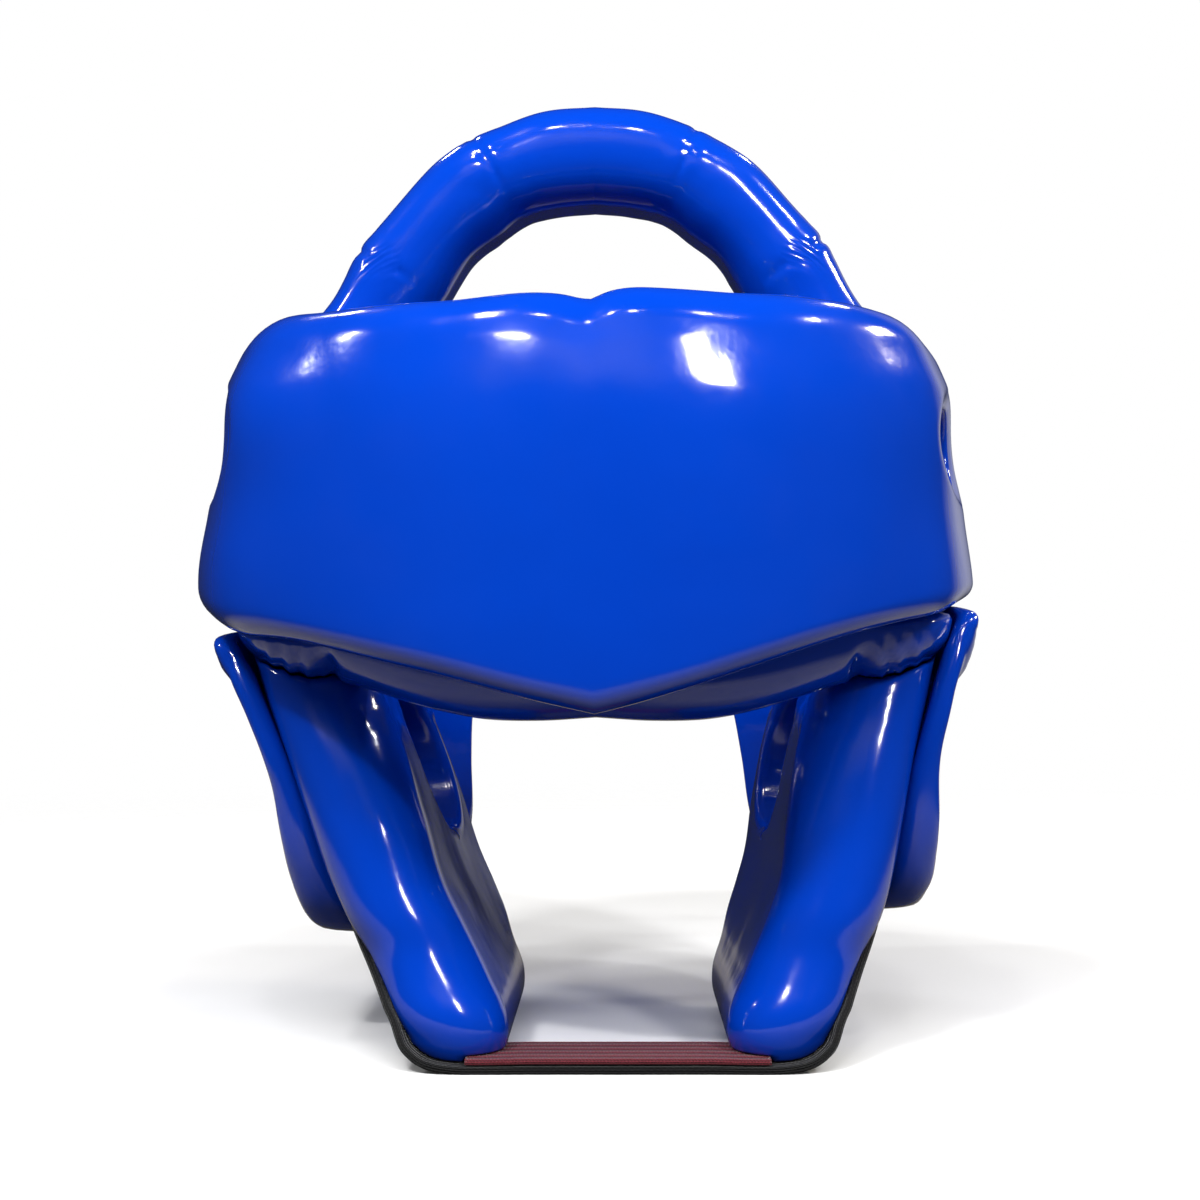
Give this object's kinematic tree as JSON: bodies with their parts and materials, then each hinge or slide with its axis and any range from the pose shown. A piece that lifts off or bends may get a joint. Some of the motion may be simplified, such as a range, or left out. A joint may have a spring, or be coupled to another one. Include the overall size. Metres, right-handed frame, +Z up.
{
  "type": "dipped foam head guard",
  "caption": "Vinyl-dipped foam sparring head guard: padded brow, open face and crown arch, cheek walls with ear guards, neck notch, elastic chin strap; stands upright.",
  "frame": {"origin": "middle of the bounding box on the floor that the guard stands on", "axes": "+Z up, -Y the way the wearer faces, +X the wearer's left"},
  "size_m": [0.2416, 0.2601, 0.2905],
  "materials": {
    "vinyl": "glossy blue vinyl dip over soft foam",
    "elastic": "black woven elastic",
    "lining": "maroon ribbed inner face of the elastic"
  },
  "bodies": {
    "root": {"forehead_pad": "vinyl", "brow_band": "vinyl", "crown_arch": "vinyl", "back_pad": "vinyl", "cheek_left": "vinyl", "cheek_right": "vinyl", "ear_guard_left": "vinyl", "ear_guard_right": "vinyl", "chin_strap": "elastic", "strap_lining": "lining"}
  },
  "joints": []
}
